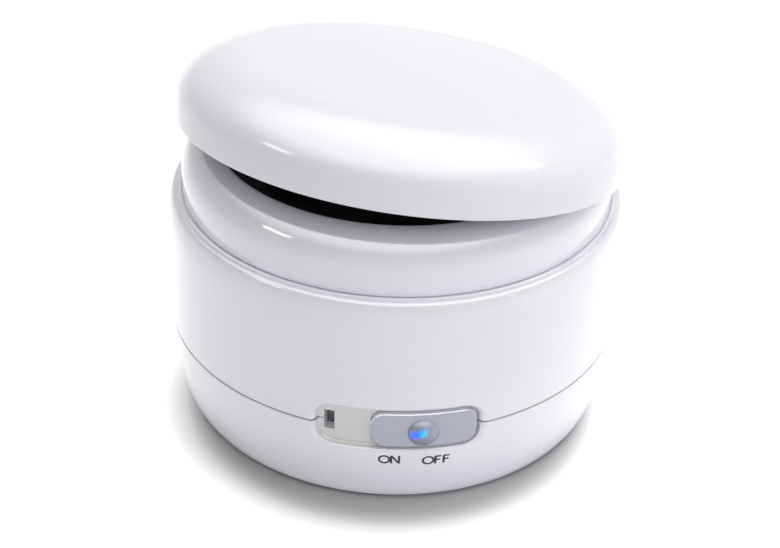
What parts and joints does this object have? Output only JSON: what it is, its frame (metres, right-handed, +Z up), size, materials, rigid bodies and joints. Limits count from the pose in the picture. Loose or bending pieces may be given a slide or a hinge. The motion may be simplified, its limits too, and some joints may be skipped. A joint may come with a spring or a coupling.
{
  "type": "contact lens cleaner",
  "caption": "Round tabletop cleaner with a hinged lid over a fluid tank, a lift-out tray with two capped lens wells, a sliding ON/OFF switch and a battery-driven shaker motor.",
  "frame": {"origin": "on the axis of the round casing, in the plane that its rubber feet stand on", "axes": "+Z up along the casing's axis; the sliding switch faces -Y and the lid's hinge is at the back, 33 degrees towards +X"},
  "size_m": [0.086, 0.0888, 0.0716],
  "materials": {
    "lower_casing": "glossy white",
    "upper_casing": "glossy white",
    "collar_ring": "glossy white",
    "tank_cup": "glossy black",
    "tank_gasket": "silicone",
    "lid_shell": "glossy white",
    "lid_liner": "satin",
    "lid_seal": "silicone",
    "hinge_pin": "ground steel",
    "lens_tray": "satin light grey",
    "lens_cap_left": "blue",
    "lens_cap_right": "white",
    "slider_cap": "satin silver",
    "slider_carrier": "moulded",
    "slider_dome": "pearly translucent",
    "window_insert": "dark grey",
    "slide_switch_body": "moulded",
    "slide_switch_knob": "moulded",
    "circuit_board": "solder mask",
    "board_chips": "moulded",
    "led": "clear blue",
    "motor_can": "plated steel",
    "motor_bracket": "moulded",
    "motor_shaft": "ground steel",
    "eccentric_weight": "sintered",
    "motor_leads": "insulated wire",
    "battery_bay": "moulded",
    "battery_cell_front": "sleeved",
    "battery_cell_back": "sleeved",
    "battery_springs": "plated wire",
    "battery_contacts": "plated sheet",
    "battery_leads": "insulated wire",
    "battery_cover": "glossy white",
    "rubber_feet": "soft rubber",
    "casing_screws": "plated",
    "board_screws": "plated",
    "motor_screws": "plated",
    "bay_screws": "plated"
  },
  "bodies": {
    "base": {"lower_casing": "lower_casing", "upper_casing": "upper_casing", "collar_ring": "collar_ring", "tank_cup": "tank_cup", "tank_gasket": "tank_gasket", "hinge_pin": "hinge_pin", "window_insert": "window_insert", "slide_switch_body": "slide_switch_body", "circuit_board": "circuit_board", "board_chips": "board_chips", "led": "led", "motor_can": "motor_can", "motor_bracket": "motor_bracket", "motor_leads": "motor_leads", "battery_bay": "battery_bay", "battery_cell_front": "battery_cell_front", "battery_cell_back": "battery_cell_back", "battery_springs": "battery_springs", "battery_contacts": "battery_contacts", "battery_leads": "battery_leads", "rubber_feet": "rubber_feet", "casing_screws": "casing_screws", "board_screws": "board_screws", "motor_screws": "motor_screws", "bay_screws": "bay_screws"},
    "lid": {"lid_shell": "lid_shell", "lid_liner": "lid_liner", "lid_seal": "lid_seal"},
    "slider": {"slider_cap": "slider_cap", "slider_carrier": "slider_carrier", "slider_dome": "slider_dome"},
    "switch_knob": {"slide_switch_knob": "slide_switch_knob"},
    "rotor": {"motor_shaft": "motor_shaft", "eccentric_weight": "eccentric_weight"},
    "tray": {"lens_tray": "lens_tray"},
    "cap_left": {"lens_cap_left": "lens_cap_left"},
    "cap_right": {"lens_cap_right": "lens_cap_right"},
    "cover": {"battery_cover": "battery_cover"}
  },
  "joints": [
    {"name": "lid_hinge", "type": "hinge", "parent": "base", "child": "lid", "pos_m": [0.02418, 0.03724, 0.0448], "axis": [-0.8387, 0.5446, 0], "range_deg": [-11.5, 80]},
    {"name": "slider_turn", "type": "hinge", "parent": "base", "child": "slider", "pos_m": [0, 0, 0.0171], "axis": [0, 0, 1], "range_deg": [-11, 0]},
    {"name": "switch_knob_slide", "type": "slide", "parent": "base", "child": "switch_knob", "axis": [0.9984, 0.0558, 0], "range_m": [-0.0071, 0]},
    {"name": "motor_spin", "type": "hinge", "parent": "base", "child": "rotor", "pos_m": [0.005, 0.014, 0.0227], "axis": [1, 0, 0], "continuous": true},
    {"name": "tray_lift", "type": "slide", "parent": "base", "child": "tray", "axis": [0, 0, 1], "range_m": [0, 0.008]},
    {"name": "left_cap_lift", "type": "slide", "parent": "tray", "child": "cap_left", "axis": [0, 0, 1], "range_m": [0, 0.006]},
    {"name": "right_cap_lift", "type": "slide", "parent": "tray", "child": "cap_right", "axis": [0, 0, 1], "range_m": [0, 0.006]},
    {"name": "cover_twist", "type": "hinge", "parent": "base", "child": "cover", "pos_m": [0, 0, 0.002], "axis": [0, 0, 1], "range_deg": [0, 40]}
  ],
  "couplings": [
    {"joint": "switch_knob_slide", "follows": "slider_turn", "m_per_rad": 0.036943}
  ]
}
